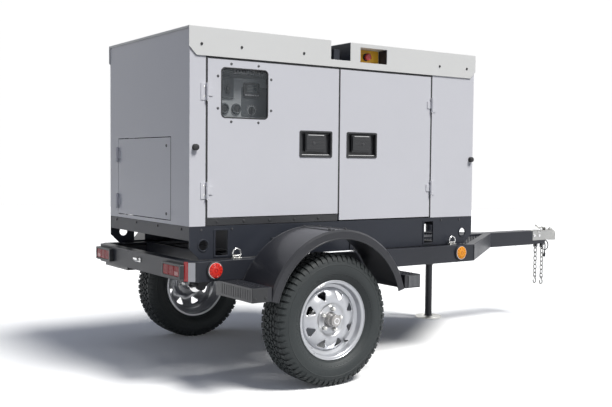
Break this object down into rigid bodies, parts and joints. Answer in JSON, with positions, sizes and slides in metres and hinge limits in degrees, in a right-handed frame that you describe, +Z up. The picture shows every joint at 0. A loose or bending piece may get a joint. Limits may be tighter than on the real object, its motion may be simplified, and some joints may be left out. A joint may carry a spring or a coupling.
{
  "type": "towable diesel generator",
  "caption": "Enclosed diesel generating set on a single-axle trailer with side doors, fenders, A-frame drawbar, swivel jack, ball coupler and safety chains.",
  "frame": {"origin": "on the ground under the middle of the object's bounding box, the tyres and the jack's foot standing on z = 0", "axes": "+X forward to the ball coupler, +Y to the left side, +Z up"},
  "size_m": [3.485, 1.825, 1.836],
  "materials": {
    "amber_lens": "moulded lens",
    "bare_steel": "bare",
    "black_paint": "semi-gloss powder coat",
    "black_plastic": "matte",
    "cast_aluminium": "bare",
    "clear_pane": "clear polycarbonate",
    "engine_grey": "painted casting",
    "light_grey_paint": "semi-gloss powder coat",
    "panel_grey": "powder coat",
    "red_lens": "moulded lens",
    "rim_silver": "silver enamel",
    "stop_red": "glossy",
    "tyre_rubber": "black rubber",
    "zinc_plate": "zinc plated"
  },
  "bodies": {
    "trailer_and_canopy": {"side_rail_left": "black_paint", "side_rail_right": "black_paint", "rear_bumper": "black_paint", "tail_lamp_left": "red_lens", "tail_lamp_right": "red_lens", "side_marker_left_rear": "red_lens", "side_marker_left_front": "amber_lens", "side_marker_right_rear": "red_lens", "side_marker_right_front": "amber_lens", "crossmember_front": "black_paint", "crossmember_rear": "black_paint", "tongue_beam": "black_paint", "axle_beam": "black_paint", "fender_left": "black_paint", "fender_right": "black_paint", "coupler": "zinc_plate", "harness_cord": "black_plastic", "harness_plug": "black_plastic", "skid_base": "black_paint", "fuel_tank": "black_plastic", "rear_shell": "light_grey_paint", "front_shell": "light_grey_paint", "roof": "light_grey_paint", "lifting_frame": "black_paint", "generator_housing": "engine_grey", "engine_block": "engine_grey", "radiator": "cast_aluminium", "muffler": "bare_steel", "battery": "black_plastic", "control_panel": "panel_grey"},
    "arm_left": {"torsion_arm_left": "black_paint"},
    "wheel_left": {"tyre_left": "tyre_rubber", "wheel_rim_left": "rim_silver", "wheel_hub_left": "black_paint"},
    "door_left_rear": {"side_door_left_rear": "light_grey_paint"},
    "latch_left_rear": {"latch_paddle_left_rear": "black_plastic"},
    "door_left_front": {"side_door_left_front": "light_grey_paint"},
    "latch_left_front": {"latch_paddle_left_front": "black_plastic"},
    "chain_left": {"safety_chain_left": "zinc_plate"},
    "arm_right": {"torsion_arm_right": "black_paint"},
    "wheel_right": {"tyre_right": "tyre_rubber", "wheel_rim_right": "rim_silver", "wheel_hub_right": "black_paint"},
    "door_right_rear": {"side_door_right_rear": "light_grey_paint", "window_pane": "clear_pane"},
    "latch_right_rear": {"latch_paddle_right_rear": "black_plastic"},
    "door_right_front": {"side_door_right_front": "light_grey_paint"},
    "latch_right_front": {"latch_paddle_right_front": "black_plastic"},
    "chain_right": {"safety_chain_right": "zinc_plate"},
    "access_door": {"access_door": "light_grey_paint"},
    "jack": {"jack_tube": "black_paint"},
    "jack_leg": {"jack_leg": "black_paint"},
    "jack_crank": {"jack_crank": "black_paint"},
    "coupler_latch": {"coupler_latch": "zinc_plate"},
    "stop_button": {"stop_button": "stop_red"},
    "crankshaft": {"generator_rotor": "bare_steel", "crank_pulley": "bare_steel"},
    "fan": {"cooling_fan": "black_plastic"},
    "selector": {"selector_knob": "black_plastic"},
    "fuel_cap": {"fuel_cap": "black_plastic"}
  },
  "joints": [
    {"name": "arm_swing_left", "type": "hinge", "parent": "trailer_and_canopy", "child": "arm_left", "pos_m": [-0.88565, 0.6025, 0.44], "axis": [0, 1, 0], "range_deg": [-8, 15], "stiffness_Nm_per_rad": 9000, "springref_deg": -4.01},
    {"name": "wheel_spin_left", "type": "hinge", "parent": "arm_left", "child": "wheel_left", "pos_m": [-1.0035, 0.7625, 0.344], "axis": [0, 1, 0], "continuous": true},
    {"name": "door_left_rear_swing", "type": "hinge", "parent": "trailer_and_canopy", "child": "door_left_rear", "pos_m": [-1.5705, 0.5225, 1.011], "axis": [0, 0, 1], "range_deg": [0, 110]},
    {"name": "latch_left_rear_pull", "type": "hinge", "parent": "door_left_rear", "child": "latch_left_rear", "pos_m": [-0.8905, 0.5015, 1.317], "axis": [1, 0, 0], "range_deg": [0, 28], "stiffness_Nm_per_rad": 1.5},
    {"name": "door_left_front_swing", "type": "hinge", "parent": "trailer_and_canopy", "child": "door_left_front", "pos_m": [-0.0355, 0.5225, 1.011], "axis": [0, 0, -1], "range_deg": [0, 110]},
    {"name": "latch_left_front_pull", "type": "hinge", "parent": "door_left_front", "child": "latch_left_front", "pos_m": [-0.5685, 0.5015, 1.317], "axis": [1, 0, 0], "range_deg": [0, 28], "stiffness_Nm_per_rad": 1.5},
    {"name": "chain_swing_left", "type": "hinge", "parent": "trailer_and_canopy", "child": "chain_left", "pos_m": [1.5735, 0.031, 0.541], "axis": [0, 1, 0], "range_deg": [-50, 60]},
    {"name": "arm_swing_right", "type": "hinge", "parent": "trailer_and_canopy", "child": "arm_right", "pos_m": [-0.88565, -0.6025, 0.44], "axis": [0, 1, 0], "range_deg": [-8, 15], "stiffness_Nm_per_rad": 9000, "springref_deg": -4.01},
    {"name": "wheel_spin_right", "type": "hinge", "parent": "arm_right", "child": "wheel_right", "pos_m": [-1.0035, -0.7625, 0.344], "axis": [0, 1, 0], "continuous": true},
    {"name": "door_right_rear_swing", "type": "hinge", "parent": "trailer_and_canopy", "child": "door_right_rear", "pos_m": [-1.5705, -0.5225, 1.011], "axis": [0, 0, -1], "range_deg": [0, 110]},
    {"name": "latch_right_rear_pull", "type": "hinge", "parent": "door_right_rear", "child": "latch_right_rear", "pos_m": [-0.8905, -0.5015, 1.317], "axis": [-1, 0, 0], "range_deg": [0, 28], "stiffness_Nm_per_rad": 1.5},
    {"name": "door_right_front_swing", "type": "hinge", "parent": "trailer_and_canopy", "child": "door_right_front", "pos_m": [-0.0355, -0.5225, 1.011], "axis": [0, 0, 1], "range_deg": [0, 110]},
    {"name": "latch_right_front_pull", "type": "hinge", "parent": "door_right_front", "child": "latch_right_front", "pos_m": [-0.5685, -0.5015, 1.317], "axis": [-1, 0, 0], "range_deg": [0, 28], "stiffness_Nm_per_rad": 1.5},
    {"name": "chain_swing_right", "type": "hinge", "parent": "trailer_and_canopy", "child": "chain_right", "pos_m": [1.5735, -0.031, 0.541], "axis": [0, 1, 0], "range_deg": [-50, 60]},
    {"name": "access_door_swing", "type": "hinge", "parent": "trailer_and_canopy", "child": "access_door", "pos_m": [-1.6775, 0.39, 0.925], "axis": [0, 0, -1], "range_deg": [0, 110]},
    {"name": "jack_swivel", "type": "hinge", "parent": "trailer_and_canopy", "child": "jack", "pos_m": [0.81176, 0.3968, 0.609], "axis": [0.6001, 0.7999, 0], "range_deg": [0, 90]},
    {"name": "jack_leg_slide", "type": "slide", "parent": "jack", "child": "jack_leg", "axis": [0, 0, 1], "range_m": [-0.04, 0.28]},
    {"name": "jack_crank_turn", "type": "hinge", "parent": "jack", "child": "jack_crank", "pos_m": [0.84315, 0.43864, 0.861], "axis": [0.6001, 0.7999, 0], "continuous": true},
    {"name": "coupler_latch_lift", "type": "hinge", "parent": "trailer_and_canopy", "child": "coupler_latch", "pos_m": [1.6373, 0, 0.6698], "axis": [0, 1, 0], "range_deg": [0, 75]},
    {"name": "stop_button_push", "type": "slide", "parent": "trailer_and_canopy", "child": "stop_button", "axis": [0, 1, 0], "range_m": [0, 0.006], "stiffness_N_per_m": 1500},
    {"name": "crankshaft_turn", "type": "hinge", "parent": "trailer_and_canopy", "child": "crankshaft", "pos_m": [-0.2475, 0, 1.1], "axis": [1, 0, 0], "continuous": true},
    {"name": "fan_turn", "type": "hinge", "parent": "trailer_and_canopy", "child": "fan", "pos_m": [-0.2475, 0, 1.26], "axis": [1, 0, 0], "continuous": true},
    {"name": "selector_turn", "type": "hinge", "parent": "trailer_and_canopy", "child": "selector", "pos_m": [-1.2575, -0.4275, 1.432], "axis": [0, 1, 0], "range_deg": [-60, 60]},
    {"name": "fuel_cap_turn", "type": "hinge", "parent": "trailer_and_canopy", "child": "fuel_cap", "pos_m": [-1.0775, 0.38, 0.96], "axis": [0, 0, 1], "range_deg": [0, 120]}
  ],
  "couplings": [
    {"joint": "fan_turn", "follows": "crankshaft_turn", "ratio": 1.1},
    {"joint": "jack_crank_turn", "follows": "jack_leg_slide", "rad_per_m": 448.8}
  ]
}
